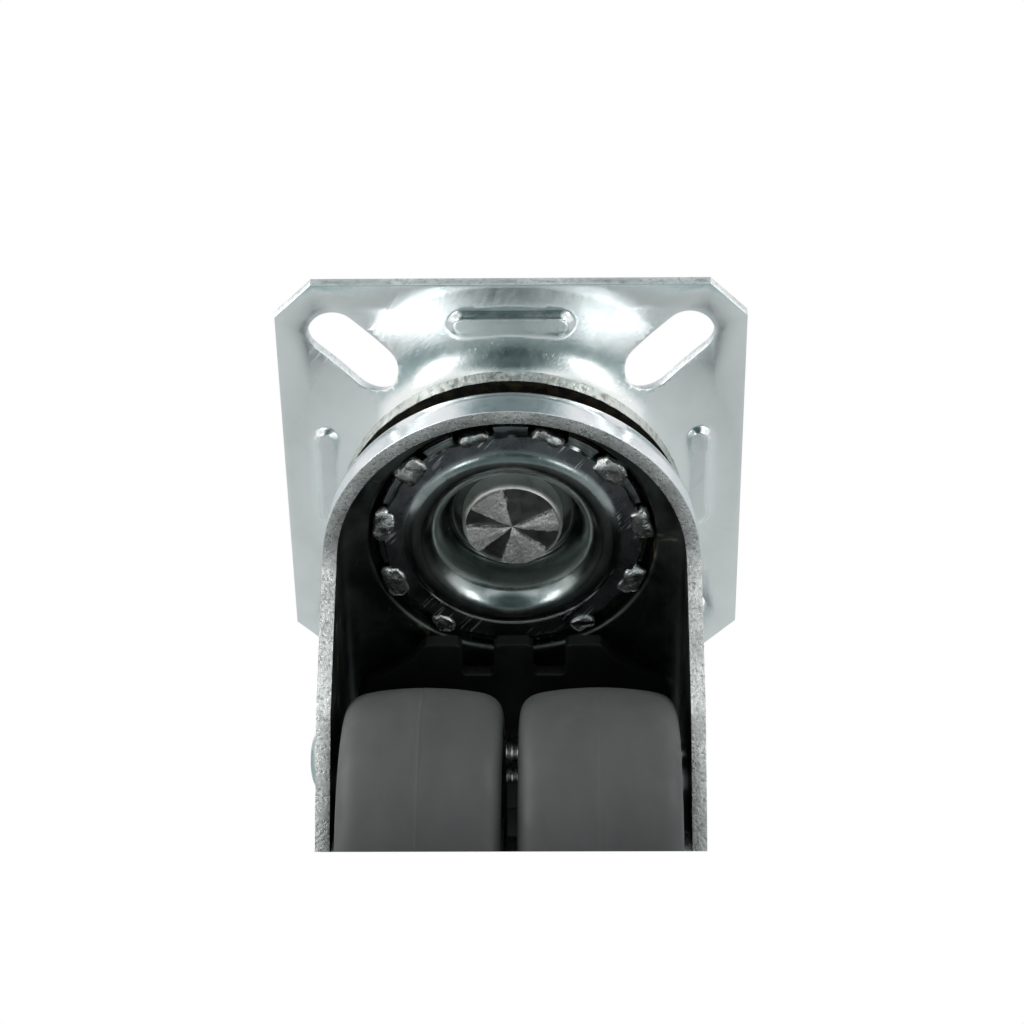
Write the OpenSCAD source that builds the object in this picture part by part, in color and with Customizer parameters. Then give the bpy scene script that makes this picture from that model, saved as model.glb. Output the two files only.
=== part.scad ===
// Twin-wheel swivel caster with a top plate and a foot brake, in millimetres.
// Origin: centre of the plate's top face, on the swivel axis. +Z is up, X runs
// along the wheel axle and the wheels trail towards +Y.

/* [Plate] */
// Side of the square top plate
plate_side = 60; // [50:1:80]
// Thickness of the plate's sheet
plate_t = 1.5; // [1:0.1:3]
// Length cut off each corner of the plate along its sides
plate_chamfer = 4.8; // [2:0.1:8]
// Side of the square through the centres of the four slots
slot_square = 40.4; // [36:0.1:48]
// Width of a slot
slot_w = 6.5; // [5:0.1:9]
// Distance between the two end centres of a slot
slot_run = 7; // [3:0.1:10]
// Depth of the drawn pan under the plate's top face
pan_depth = 8.4; // [6:0.1:10]
// Outer radius of the drawn neck above the pan
neck_r = 18.4; // [17:0.1:19]

/* [Swivel head] */
// Outer radius of the upper race
race_r = 22.3; // [20:0.1:24]
// Height of the bottom edge of the upper race's rim
race_rim_z = -11.3; // [-12:0.1:-10.8]
// Radius of the upper ball row
upper_row_r = 15; // [12:0.1:18]
// Diameter of an upper ball
upper_ball_d = 3; // [2:0.1:4]
// Number of upper balls
upper_ball_n = 24; // [12:1:30]
// Radius of the lower ball row
lower_row_r = 11.4; // [9:0.1:13]
// Diameter of a lower ball
lower_ball_d = 2.5; // [2:0.1:4]
// Number of lower balls
lower_ball_n = 22; // [10:1:28]
// Outer radius of the toothed lock ring
lock_r = 17.3; // [16:0.1:18]
// Number of notches around the lock ring
lock_n = 11; // [8:1:16]
// Width of a notch in the lock ring
notch_w = 5.2; // [3:0.1:6]
// Diameter of the kingpin's lower head
kingpin_head_d = 13; // [10:0.1:15]

/* [Fork] */
// Half of the fork's outer width, and the radius of its round front
fork_r = 24; // [20:0.1:30]
// Thickness of the fork's sheet
fork_t = 1.8; // [1.5:0.1:3]
// Height of the bottom edge of the fork's front skirt
skirt_z = -20.4; // [-26:0.1:-18]
// Outer radius of the bend between crown and skirt
bend_r = 4; // [2:0.1:5]

/* [Wheels] */
// Diameter of a wheel over its tread
wheel_d = 50; // [40:1:75]
// Width of one wheel
wheel_w = 19.8; // [14:0.1:24]
// Gap between the two wheels
wheel_gap = 1.9; // [1:0.1:4]
// Distance of the axle behind the swivel axis
trail = 28; // [20:0.5:35]
// Height of the axle
axle_z = -50; // [-80:0.5:-40]
// Radius of the wheel's core under the tyre
core_r = 19.5; // [14:0.1:22]

/* [Brake] */
// Distance of the brake pin behind the swivel axis
pin_y = 33; // [28:0.5:40]
// Height of the brake pin
pin_z = -21; // [-26:0.5:-18]
// Diameter of the brake pin
pin_d = 4.2; // [3:0.1:6]
// Half of the lever's width
lever_w = 20.6; // [15:0.1:21.5]
// Distance of the comb's tips behind the swivel axis
comb_y = 14; // [13.9:0.1:16]
// Height of the comb's top face at rest
comb_z = -17.7; // [-18.5:0.1:-17.5]
// Half of the pedal's width behind the fork
pedal_w = 24; // [21:0.5:27]

/* [Output] */
// Sub-part to draw

/* [Hidden] */
$fn = 96;
eps = 0.02;
pan_z = -pan_depth;
pan_corner = 1.6;
pan_flare = pan_depth - plate_t - pan_corner;
cup_t = 1.0;
cup_z = -15.3;
cup_floor_z = pan_z;
cup_r = 16.1;
lock_t = 1.0;
lock_z = cup_z + cup_t;
notch_r = cup_r;
stake_w = 3.4;
stake_drop = 0.2;
crown_top = -11.1;
crown_low = crown_top - fork_t;
shoulder_top = -13.6;
shoulder_low = shoulder_top - fork_t;
recess_r = 18.4;
step_r = fork_r - bend_r;
crown_hole_r = 10.7;
leg_back_y = 39;
leg_corner = 3.5;
crown_back_y = leg_back_y - leg_corner;
race_in_z = -10.3;
race_bore_r = 10.4;
race_rim_r = step_r + 0.4;
upper_row_z = (race_in_z + crown_top) / 2;
lower_row_z = -13.7;
ball_play = 0.05;
kingpin_r = 4;
kingpin_face_z = -12.9;
leg_in = fork_r - fork_t;
boss_r = 8.6;
axle_r = 3;
thread_r = 2.5;
hex_across = 8;
nut_h = 3.8;
collar_h = 1;
collar_r = 3.5;
sleeve_r = 4;
wheel_play = 0.05;
wheel_x = wheel_gap / 2;
bush_r = 6;
hub_r = 8.6;
tyre_r = wheel_d / 2;
pin_r = pin_d / 2;
hub_tube_r = 3.5;
lever_t = 2;
washer_t = 1.1;
pedal_z = comb_z + 0.5;
pedal_y0 = pin_y + 6;
pedal_wide_y = 41.5;
pedal_y1 = 57;
pedal_slope = -0.26;
pedal_t = 3.4;
shoe_gap = 1.4;
spring_wire = 0.8;

// Points of an arc from angle a0 to a1 about c
function arc(c, r, a0, a1, n = 12) =
  [for (i = [0:n]) c + r * [cos(a0 + (a1 - a0) * i / n), sin(a0 + (a1 - a0) * i / n)]];

// A cylinder along X from x0 to x1, at y and z
module rod_x(r, x0, x1, y, z) {
  translate([x0, y, z]) rotate([0, 90, 0]) cylinder(r = r, h = x1 - x0);
}

// An outline drawn in (y, z), as thick as x0 to x1
module slab_x(x0, x1) {
  translate([x0, 0, 0]) rotate([90, 0, 90]) linear_extrude(x1 - x0) children();
}

// ---- Plate, race and kingpin ----

module chamfered_square(side, cut) {
  h = side / 2;
  polygon([[-h + cut, -h], [h - cut, -h], [h, -h + cut], [h, h - cut],
           [h - cut, h], [-h + cut, h], [-h, h - cut], [-h, -h + cut]]);
}

module slot_outline() {
  for (s = [-1, 1]) translate([s * slot_run / 2, 0]) circle(d = slot_w);
  square([slot_run, slot_w], center = true);
}

// Drawn pan in the middle of the plate, as a revolved sheet
module pan_profile() {
  rim = neck_r + pan_flare;
  polygon(concat(
    [[kingpin_r, pan_z], [neck_r - pan_corner, pan_z]],
    arc([neck_r - pan_corner, pan_z + pan_corner], pan_corner, -90, 0),
    arc([rim, -plate_t - pan_flare], pan_flare, 180, 90),
    [[rim + 0.5, -plate_t], [rim + 0.5, 0], [rim, 0]],
    arc([rim, -plate_t - pan_flare], pan_flare + plate_t, 90, 180),
    [[neck_r - plate_t - 0.1, pan_z + plate_t], [kingpin_r, pan_z + plate_t]]));
}

// Low embossed bar beside each edge of the plate
module bead() {
  bead_l = 13;
  bead_w = 2.2;
  translate([0, 24.3, -plate_t]) {
    translate([-bead_l / 2, -bead_w / 2, -0.4]) cube([bead_l, bead_w, 0.4 + eps]);
    for (s = [-1, 1])
      translate([s * bead_l / 2, 0, -0.4]) cylinder(d = bead_w, h = 0.4 + eps);
  }
}

module top_plate() {
  color([0.80, 0.82, 0.81]) difference() {
    union() {
      translate([0, 0, -plate_t]) linear_extrude(plate_t) difference() {
        chamfered_square(plate_side, plate_chamfer);
        circle(r = neck_r + pan_flare);
      }
      rotate_extrude() pan_profile();
      for (a = [0:90:270]) rotate(a) bead();
    }
    for (a = [0:90:270]) rotate(a)
      translate([slot_square / 2, slot_square / 2, -plate_t - 2])
        linear_extrude(plate_t + 3) rotate(45) slot_outline();
  }
}

module upper_race() {
  rim_cut = 0.8;
  color([0.72, 0.74, 0.73]) difference() {
    rotate_extrude() polygon([
      [race_bore_r, pan_z], [race_r - 1.6, pan_z], [race_r, pan_z - rim_cut],
      [race_r, race_rim_z], [race_rim_r, race_rim_z], [race_rim_r, race_in_z],
      [race_bore_r, race_in_z]]);
    ball_groove(upper_row_r, upper_row_z, upper_ball_d);
  }
}

module ball_groove(row_r, row_z, ball_d) {
  rotate_extrude() translate([row_r, row_z]) circle(r = ball_d / 2 + ball_play);
}

// Riveted pin through the plate and the cup, peened into a five-rayed star
module kingpin() {
  top_head_z = pan_z + plate_t;
  head_r = kingpin_head_d / 2;
  head_top = cup_floor_z - cup_t;
  star_depth = 0.5;
  color([0.62, 0.63, 0.62]) {
    difference() {
      rotate_extrude() polygon(concat(
        [[0, kingpin_face_z]],
        [[head_r - 0.5, kingpin_face_z], [head_r, kingpin_face_z + 0.7], [head_r, head_top],
         [kingpin_r, head_top], [kingpin_r, top_head_z], [6, top_head_z]],
        [[6, top_head_z + 1.2], [4.8, top_head_z + 2.2], [0, top_head_z + 2.4]]));
      for (i = [0:4]) rotate(46 + 72 * i)
        translate([0, 0, kingpin_face_z - eps]) linear_extrude(star_depth)
          polygon([[0.5, 0], [head_r + 0.3, -1.9], [head_r + 0.3, 1.9]]);
    }
  }
}

// Pressed cup that carries the lower balls and is staked over the lock ring
module cup_profile() {
  row = [lower_row_r, lower_row_z];
  in_r = lower_ball_d / 2 + ball_play;
  out_r = in_r + cup_t;
  wall_r = lower_row_r - out_r;
  polygon(concat(
    [[kingpin_r, cup_floor_z], [kingpin_r, cup_floor_z - cup_t], [wall_r - 0.9, cup_floor_z - cup_t]],
    arc([wall_r - 0.9, cup_floor_z - cup_t - 0.9], 0.9, 90, 0, 6),
    arc(row, out_r, 180, 317, 24),
    [[lower_row_r + out_r + 0.6, cup_z], [cup_r, cup_z], [cup_r, cup_z + cup_t],
     [lower_row_r + in_r + 0.9, cup_z + cup_t]],
    arc(row, in_r, 335, 180, 24),
    [[wall_r + cup_t, cup_floor_z]]));
}

module lower_race_cup() {
  color([0.45, 0.47, 0.47]) {
    rotate_extrude() cup_profile();
    for (i = [1:lock_n - 1]) rotate(90 + i * 360 / lock_n)
      translate([notch_r - 0.1, -stake_w / 2, cup_z - stake_drop])
        cube([1, stake_w, cup_t + stake_drop + 0.5]);
  }
}

module lock_ring() {
  color([0.42, 0.44, 0.44]) difference() {
    translate([0, 0, lock_z]) cylinder(r = lock_r, h = lock_t);
    translate([0, 0, lock_z - 1]) cylinder(r = lower_row_r + 2.8, h = lock_t + 2);
    for (i = [0:lock_n - 1]) rotate(90 + i * 360 / lock_n)
      translate([notch_r - 0.2, -notch_w / 2, lock_z - 1]) cube([4, notch_w, lock_t + 2]);
  }
}

module ball_row(row_r, row_z, ball_d, n) {
  for (i = [0:n - 1]) rotate(i * 360 / n)
    translate([row_r, 0, row_z]) sphere(d = ball_d, $fn = 32);
}

module upper_balls() {
  color([0.8, 0.8, 0.8]) ball_row(upper_row_r, upper_row_z, upper_ball_d, upper_ball_n);
}

module lower_balls() {
  color([0.8, 0.8, 0.8]) ball_row(lower_row_r, lower_row_z, lower_ball_d, lower_ball_n);
}

// ---- Fork and what is fixed to it ----

// Bent sheet seen along the bend: crown edge, bend and wall, outer side at u = fork_r
module bend_profile(low_z) {
  c = [fork_r - bend_r, shoulder_top - bend_r];
  polygon(concat(
    arc(c, bend_r, 90, 0),
    [[fork_r, low_z], [leg_in, low_z]],
    arc(c, bend_r - fork_t, 0, 90)));
}

// Outline of a leg in (y, z)
module leg_outline() {
  polygon(concat(
    [[0, shoulder_top]],
    arc([crown_back_y, shoulder_top - leg_corner], leg_corner, 90, 0, 8),
    [[leg_back_y, pin_z - 3.5]],
    arc([trail, axle_z], boss_r, 5, -135, 24),
    arc([14.6, -36.9], 8.4, 205, 194, 3),
    arc([-3.4, -23.8], 3.4, 0, 90, 8),
    [[0, skirt_z]]));
}

// Crown: raised disc around the kingpin, stepped down to the shoulder
module crown_profile() {
  soft = 1.2;
  polygon(concat(
    [[crown_hole_r, crown_low], [recess_r - soft, crown_low]],
    arc([recess_r - soft, crown_low - soft], soft, 90, 0, 6),
    [[recess_r, shoulder_low + 0.6], [recess_r + 0.6, shoulder_low], [step_r, shoulder_low]],
    [[step_r, crown_top - soft]],
    arc([step_r - soft, crown_top - soft], soft, 0, 90, 6),
    [[crown_hole_r, crown_top]]));
}

module fork() {
  color([0.74, 0.76, 0.76]) difference() {
    union() {
      rotate_extrude() crown_profile();
      difference() {
        translate([-step_r, 0, shoulder_low]) cube([2 * step_r, crown_back_y, fork_t]);
        translate([0, 0, shoulder_low - 1]) cylinder(r = recess_r + 0.8, h = fork_t + 2);
      }
      rotate([0, 0, 180]) rotate_extrude(angle = 180) bend_profile(skirt_z);
      for (s = [0, 1]) mirror([s, 0, 0]) intersection() {
        rotate([90, 0, 180]) mirror([1, 0, 0]) linear_extrude(60) bend_profile(axle_z - 20);
        slab_x(step_r - 1, fork_r + 1) leg_outline();
      }
    }
    ball_groove(upper_row_r, upper_row_z, upper_ball_d);
    ball_groove(lower_row_r, lower_row_z, lower_ball_d);
    rod_x(axle_r, -fork_r - 1, fork_r + 1, trail, axle_z);
    rod_x(pin_r, -fork_r - 1, fork_r + 1, pin_y, pin_z);
  }
}

// Hexagonal prism along X from x0, one corner up
module hex_x(across, x0, h) {
  translate([x0, trail, axle_z]) rotate([0, 90, 0]) cylinder(d = across / cos(30), h = h, $fn = 6);
}

// Shouldered bolt: thick through both legs, thinner in the nut
module axle_bolt() {
  head_h = 3.2;
  color([0.70, 0.71, 0.72]) {
    rod_x(axle_r, -fork_r - eps, fork_r, trail, axle_z);
    rod_x(thread_r, fork_r - eps, fork_r + nut_h + collar_h + 0.6, trail, axle_z);
    hex_x(hex_across, -fork_r - head_h, head_h);
  }
}

// Nut with a round locking collar
module axle_nut() {
  color([0.66, 0.68, 0.69]) difference() {
    union() {
      hex_x(hex_across, fork_r, nut_h);
      rod_x(collar_r, fork_r + nut_h, fork_r + nut_h + collar_h, trail, axle_z);
    }
    rod_x(thread_r, fork_r - 1, fork_r + nut_h + collar_h + 1, trail, axle_z);
  }
}

module tube_x(r_out, r_in, x0, x1, y, z) {
  difference() {
    rod_x(r_out, x0, x1, y, z);
    rod_x(r_in, x0 - 1, x1 + 1, y, z);
  }
}

module axle_sleeve() {
  color([0.60, 0.61, 0.62]) tube_x(sleeve_r, axle_r, -leg_in, leg_in, trail, axle_z);
}

module centre_spacer() {
  color([0.20, 0.20, 0.21]) tube_x(6.5, sleeve_r, -0.65, 0.65, trail, axle_z);
}

module thrust_washers() {
  color([0.75, 0.76, 0.76]) for (s = [-1, 1])
    tube_x(7, sleeve_r, min(s * leg_in, s * (leg_in - washer_t)),
           max(s * leg_in, s * (leg_in - washer_t)), trail, axle_z);
}

// Rivet with a tall domed head on the left and a flat peened end on the right
module brake_pin() {
  head_r = 4;
  head_h = 3.3;
  color([0.78, 0.79, 0.80]) {
    rod_x(pin_r, -fork_r - eps, fork_r + eps, pin_y, pin_z);
    translate([-fork_r, pin_y, pin_z]) rotate([0, -90, 0]) rotate_extrude()
      polygon(concat([[0, 0], [head_r, 0], [head_r, 1.1]],
                     [for (a = [15:15:90]) [head_r * cos(a), 1.1 + (head_h - 1.1) * sin(a)]]));
    rod_x(3, fork_r, fork_r + 0.9, pin_y, pin_z);
  }
}

// Torsion spring around the pin, drawn as a stack of closed coils
module brake_spring() {
  turns = 4;
  coil_r = pin_r + 0.1 + spring_wire / 2;
  color([0.70, 0.70, 0.68]) for (i = [0:turns - 1])
    translate([(i - (turns - 1) / 2) * spring_wire * 0.98, pin_y, pin_z]) rotate([0, 90, 0])
      rotate_extrude() translate([coil_r, 0]) circle(d = spring_wire, $fn = 24);
}

// ---- Wheels ----

// Tyre's cross-section in (r, x) for a wheel centred on x = 0
module tyre_profile() {
  half = wheel_w / 2;
  fall = 3.6;
  edge = 2;
  flat = half - 5.5;
  shoulder = [for (a = [0:7.5:90])
    [tyre_r - fall * (1 - pow(cos(a), 0.62)), flat + (half - flat) * pow(sin(a), 0.9)]];
  polygon(concat(
    [[core_r, -half + edge]],
    [[core_r + edge * 0.6, -half]],
    [for (i = [len(shoulder) - 1:-1:0]) [shoulder[i][0], -shoulder[i][1]]],
    shoulder,
    [[core_r + edge * 0.6, half], [core_r, half - edge]]));
}

module revolve_x(x) {
  translate([x, trail, axle_z]) rotate([0, 90, 0]) rotate_extrude() children();
}

module tyre(x) {
  color([0.33, 0.33, 0.335]) revolve_x(x) tyre_profile();
}

module core(x) {
  rim_t = 2.4;
  web_t = 3.2;
  rib_n = 8;
  half = wheel_w / 2;
  rim_half = half - 2;
  color([0.24, 0.24, 0.25]) difference() {
    union() {
      revolve_x(x) {
        translate([bush_r, -half]) square([hub_r - bush_r, wheel_w]);
        translate([core_r - rim_t, -rim_half]) square([rim_t, 2 * rim_half]);
        translate([hub_r - 0.2, -web_t / 2]) square([core_r - rim_t - hub_r + 0.4, web_t]);
      }
      for (i = [0:rib_n - 1]) translate([x, trail, axle_z]) rotate([i * 360 / rib_n, 0, 0])
        translate([-rim_half + 1, -0.9, hub_r - 0.4]) cube([2 * rim_half - 2, 1.8, core_r - rim_t - hub_r + 0.8]);
    }
    rod_x(bush_r, x - half - 1, x + half + 1, trail, axle_z);
  }
}

module bushing(x) {
  half = wheel_w / 2;
  color([0.86, 0.85, 0.80])
    tube_x(bush_r, sleeve_r + wheel_play, x - half, x + half, trail, axle_z);
}

left_x = -(wheel_x + wheel_w / 2);
right_x = wheel_x + wheel_w / 2;

// ---- Brake ----

// Comb plate in plan: three prongs in front, sloped shoulders, straight sides
module comb_outline() {
  root_y = comb_y + 5.2;
  prong_w = 5.1;
  pitch = 9.3;
  difference() {
    polygon([[-pitch - prong_w / 2, comb_y], [pitch + prong_w / 2, comb_y],
             [pitch + prong_w / 2 + 1.2, comb_y + 2.6], [lever_w - 1.6, comb_y + 6.6],
             [lever_w, comb_y + 9], [lever_w, pin_y], [-lever_w, pin_y], [-lever_w, comb_y + 9],
             [-lever_w + 1.6, comb_y + 6.6], [-pitch - prong_w / 2 - 1.2, comb_y + 2.6]]);
    for (s = [-1, 1])
      translate([s * pitch / 2 - (pitch - prong_w) / 2, comb_y - 1]) square([pitch - prong_w, root_y - comb_y + 1]);
  }
}

// Heights of the pedal's sloping top and underside at y
function pedal_top(y) = pedal_z + (y - pedal_y0) * pedal_slope;
function pedal_under(y) = pedal_top(y) - pedal_t;

// Lever in side view between the legs, in (y, z)
module arm_outline() {
  polygon([[pin_y - 3, comb_z - lever_t], [pin_y - 3, pedal_z], [pedal_y0, pedal_z],
           [pedal_wide_y + 1, pedal_top(pedal_wide_y + 1)],
           [pedal_wide_y + 1, pedal_under(pedal_wide_y + 1)], [pedal_y0, pedal_under(pedal_y0)]]);
}

// Pedal in side view behind the legs, with a round nose tangent to both faces
module pedal_outline() {
  tilt = atan(pedal_slope);
  nose = [pedal_y1, pedal_top(pedal_y1) - pedal_t / 2];
  polygon(concat(
    [[pedal_wide_y, pedal_under(pedal_wide_y)], [pedal_wide_y, pedal_top(pedal_wide_y)]],
    arc(nose, pedal_t * cos(tilt) / 2, 90 + tilt, -90 + tilt, 12)));
}

// Pedal seen from above, rounded at the four corners
module pedal_plan() {
  front_r = 2;
  back_r = 7;
  y1 = pedal_y1 + pedal_t / 2 + eps;
  polygon(concat(
    arc([pedal_w - front_r, pedal_wide_y + front_r], front_r, -90, 0, 6),
    arc([pedal_w - back_r, y1 - back_r], back_r, 0, 90, 10),
    arc([-pedal_w + back_r, y1 - back_r], back_r, 90, 180, 10),
    arc([-pedal_w + front_r, pedal_wide_y + front_r], front_r, 180, 270, 6)));
}

module brake_lever() {
  spring_room = 2.4;
  color([0.05, 0.05, 0.05]) difference() {
    union() {
      translate([0, 0, comb_z - lever_t]) linear_extrude(lever_t) comb_outline();
      tube_x(hub_tube_r, pin_r + 0.05, -lever_w, lever_w, pin_y, pin_z);
      slab_x(-lever_w, lever_w) arm_outline();
      intersection() {
        slab_x(-pedal_w, pedal_w) pedal_outline();
        translate([0, 0, axle_z]) linear_extrude(-axle_z) pedal_plan();
      }
    }
    rod_x(pin_r + 0.05, -lever_w - 1, lever_w + 1, pin_y, pin_z);
    translate([-spring_room, pin_y - 4, pin_z - 6]) cube([2 * spring_room, 8, 12]);
  }
}

// Two pads under the lever that press on the treads
module brake_shoe() {
  shoe_r = tyre_r + shoe_gap;
  y0 = 40.4;
  y1 = 46;
  color([0.09, 0.09, 0.09]) for (s = [-1, 1])
    slab_x(min(s * 2.6, s * 18.6), max(s * 2.6, s * 18.6))
      polygon(concat([[y0, pedal_under(y0)]],
                     arc([trail, axle_z], shoe_r, acos((y0 - trail) / shoe_r), acos((y1 - trail) / shoe_r), 6),
                     [[y1, pedal_under(y1)]]));
}

// Raised grip ribs across the pedal
module pedal_pad() {
  rib_n = 5;
  rib_w = 1.3;
  rib_h = 0.8;
  rib_l = 34;
  color([0.07, 0.07, 0.07]) for (i = [0:rib_n - 1]) {
    y = pedal_wide_y + 2 + 2.7 * i;
    slab_x(-rib_l / 2, rib_l / 2)
      polygon([[y, pedal_top(y)], [y + rib_w, pedal_top(y + rib_w)],
               [y + rib_w - 0.2, pedal_top(y) + rib_h], [y + 0.2, pedal_top(y) + rib_h]]);
  }
}

top_plate();
upper_race();
kingpin();
lower_race_cup();
lock_ring();
upper_balls();
lower_balls();
fork();
axle_bolt();
axle_nut();
axle_sleeve();
centre_spacer();
thrust_washers();
brake_pin();
brake_spring();
tyre(left_x);  // left_tyre
core(left_x);  // left_core
bushing(left_x);  // left_bushing
tyre(right_x);  // right_tyre
core(right_x);  // right_core
bushing(right_x);  // right_bushing
brake_lever();
brake_shoe();
pedal_pad();
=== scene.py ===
"""Looks of the twin-wheel swivel caster.

The plate, race, kingpin, cup, lock ring, fork, tyres, brake lever and its rivet are built as fine
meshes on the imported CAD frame. The other CAD nodes keep their shape and get a material.
Lengths are in millimetres until they reach a mesh.
"""

import math
import random

import bpy
import bmesh
from mathutils import Matrix, Vector, noise
from mathutils.geometry import delaunay_2d_cdt


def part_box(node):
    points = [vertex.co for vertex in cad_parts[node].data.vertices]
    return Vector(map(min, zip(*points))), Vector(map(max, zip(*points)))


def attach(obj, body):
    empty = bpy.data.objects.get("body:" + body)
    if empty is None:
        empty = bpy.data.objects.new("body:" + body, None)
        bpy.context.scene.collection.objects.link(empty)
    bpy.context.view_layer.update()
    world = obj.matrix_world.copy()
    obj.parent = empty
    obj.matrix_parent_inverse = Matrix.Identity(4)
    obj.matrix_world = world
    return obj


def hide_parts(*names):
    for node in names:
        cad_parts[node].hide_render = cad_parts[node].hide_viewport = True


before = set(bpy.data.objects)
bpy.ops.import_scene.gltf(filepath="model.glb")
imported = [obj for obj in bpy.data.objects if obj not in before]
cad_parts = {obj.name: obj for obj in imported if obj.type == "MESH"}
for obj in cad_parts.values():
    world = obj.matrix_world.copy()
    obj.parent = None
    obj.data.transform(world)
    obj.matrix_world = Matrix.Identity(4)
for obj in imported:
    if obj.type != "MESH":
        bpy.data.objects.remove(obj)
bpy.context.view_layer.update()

# ---------------------------------------------------------------- sizes, in millimetres
MM = 0.001


def cad(node):
    """Lowest and highest corner of a CAD node, in millimetres."""
    low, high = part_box(node)
    return Vector(low) / MM, Vector(high) / MM


plate_low, plate_high = cad("top_plate")
race_low, race_high = cad("upper_race")
pin_low, pin_high = cad("kingpin")
ring_low, ring_high = cad("lock_ring")
_, fork_high = cad("fork")
tyre_low, tyre_high = cad("left_tyre")
rivet_low, rivet_high = cad("brake_pin")
lever_low, lever_high = cad("brake_lever")

# top plate: square with cut corners, four slots on the diagonals, drawn pan in the middle
PLATE_HALF = plate_high.x
PLATE_T = 1.5
PLATE_CUT = 4.8
SLOT_AT = 20.2
SLOT_R = 3.25
SLOT_HALF_RUN = 3.5
PAN_Z = plate_low.z
NECK_R = 18.4
PAN_CORNER = 1.6
# the flare from the pan's neck out to the flat
DISH_R = 29.5
DISH_DEEP = -PAN_Z - PAN_CORNER - PLATE_T
# pressed bars, one beside each side of the plate
BEAD_Y = 24.3
BEAD_DEEP = 1.0
BEAD_HALF_RUN = 6.2
BEAD_EDGE = 1.95
BEAD_SLOPE = 0.9

# upper race; a ball row is its centres' radius and height, and the groove's own radius
RACE_R = race_high.x
RACE_BORE = 10.4
RACE_RIM_Z = race_low.z
RACE_IN_Z = -10.3
UPPER_ROW = (15.0, -10.7, 1.55)

# kingpin: its peened lower head and its upper head inside the pan
KINGPIN_FACE_Z = pin_low.z
KINGPIN_R = 4.0
KINGPIN_HEAD_R = pin_high.x
KINGPIN_TOP_R = 6.0
KINGPIN_TOP_EDGE = 0.9
KINGPIN_TOP_DOME = 1.5

# lower cup and lock ring
CUP_T = 1.0
CUP_Z = -15.3
CUP_R = 16.1
CUP_RIM_R = 16.55
LOWER_ROW = (11.4, -13.7, 1.3)
LOCK_N = 11
LOCK_R = ring_high.x
NOTCH_HALF = 2.6

# fork: one folded sheet with a stepped crown, round skirt in front, leg on each side
FORK_R = fork_high.x
FORK_T = 1.8
LEG_IN = FORK_R - FORK_T
STEP_R = 20.0
BEND_R = 2.2
LEG_BACK_Y = 39.0
LEG_CORNER = 3.5
SHOULDER_Z = -15.4
CROWN_Z = -12.9
CROWN_HOLE_R = 10.7
CROWN_GREASE_Z = -13.58
RECESS_R = 18.4
SKIRT_Z = -20.4
CROWN_BACK_Y = LEG_BACK_Y - LEG_CORNER

# wheels and brake
AXLE = Vector((0.0, (tyre_low.y + tyre_high.y) / 2, (tyre_low.z + tyre_high.z) / 2))
AXLE_R = 3.0
TYRE_R = (tyre_high.y - tyre_low.y) / 2
WHEEL_W = tyre_high.x - tyre_low.x
WHEEL_X = (tyre_high.x + tyre_low.x) / 2
CORE_R = 19.5
BRAKE_PIN = Vector((0.0, (rivet_low.y + rivet_high.y) / 2, (rivet_low.z + rivet_high.z) / 2))
BRAKE_PIN_R = 2.1
RIVET_HEAD_R = 4.6
LEVER_HALF = 20.6
PEDAL_HALF = lever_high.x
PEDAL_WIDE_Y = 41.5
COMB_Y = lever_low.y
COMB_Z = -17.7
COMB_T = 2.0

# meshes: steps of a full turn, distances for merging points, and angles in degrees
ROUND_STEPS = 288
SEAM_WELD = 0.004
TIP_WELD = 0.0005
SHARP = 38
BEVEL_ANGLE = 50


# ---------------------------------------------------------------- mesh helpers
def clamp(value):
    return min(max(value, 0.0), 1.0)


def polar(r, a):
    return r * math.cos(a), r * math.sin(a)


def arc(centre, r, a0, a1, n=12):
    """Points of an arc, angles in degrees."""
    points = []
    for i in range(n + 1):
        x, y = polar(r, math.radians(a0 + (a1 - a0) * i / n))
        points.append((centre[0] + x, centre[1] + y))
    return points


def new_object(name, verts, faces, materials):
    """A mesh object from points in millimetres."""
    mesh = bpy.data.meshes.new(name)
    mesh.from_pydata([Vector(v) * MM for v in verts], [], faces)
    obj = bpy.data.objects.new(name, mesh)
    bpy.context.scene.collection.objects.link(obj)
    for m in materials:
        mesh.materials.append(m)
    smooth(obj)
    return obj


def smooth(obj, sharp=SHARP):
    """Smooth shading, with edges sharper than the angle in degrees kept."""
    for poly in obj.data.polygons:
        poly.use_smooth = True
    obj.data.set_sharp_from_angle(angle=math.radians(sharp))


def weld(obj, distance=SEAM_WELD):
    """Merges points closer than distance, in millimetres."""
    bm = bmesh.new()
    bm.from_mesh(obj.data)
    bmesh.ops.remove_doubles(bm, verts=bm.verts, dist=distance * MM)
    bm.to_mesh(obj.data)
    bm.free()


def bake(obj):
    """Applies the object's modifiers."""
    deps = bpy.context.evaluated_depsgraph_get()
    mesh = bpy.data.meshes.new_from_object(obj.evaluated_get(deps))
    obj.modifiers.clear()
    obj.data = mesh
    smooth(obj)


def add_bevel(obj, width, segments=3):
    mod = obj.modifiers.new("edge", "BEVEL")
    mod.width = width * MM
    mod.segments = segments
    mod.limit_method = "ANGLE"
    mod.angle_limit = math.radians(BEVEL_ANGLE)
    mod.use_clamp_overlap = True


def add_sheet(obj, thickness, rim_material=0):
    """Thickens an open surface away from its normals."""
    mod = obj.modifiers.new("sheet", "SOLIDIFY")
    mod.thickness = thickness * MM
    mod.offset = -1
    mod.use_even_offset = True
    mod.material_offset_rim = rim_material


def lathe_points(profile, steps):
    """Rings of points for a profile in (r, z) turned about Z."""
    angles = [math.radians(360.0 * i / steps) for i in range(steps)]
    return [[(*polar(r, a), z) for a in angles] for r, z in profile]


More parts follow.
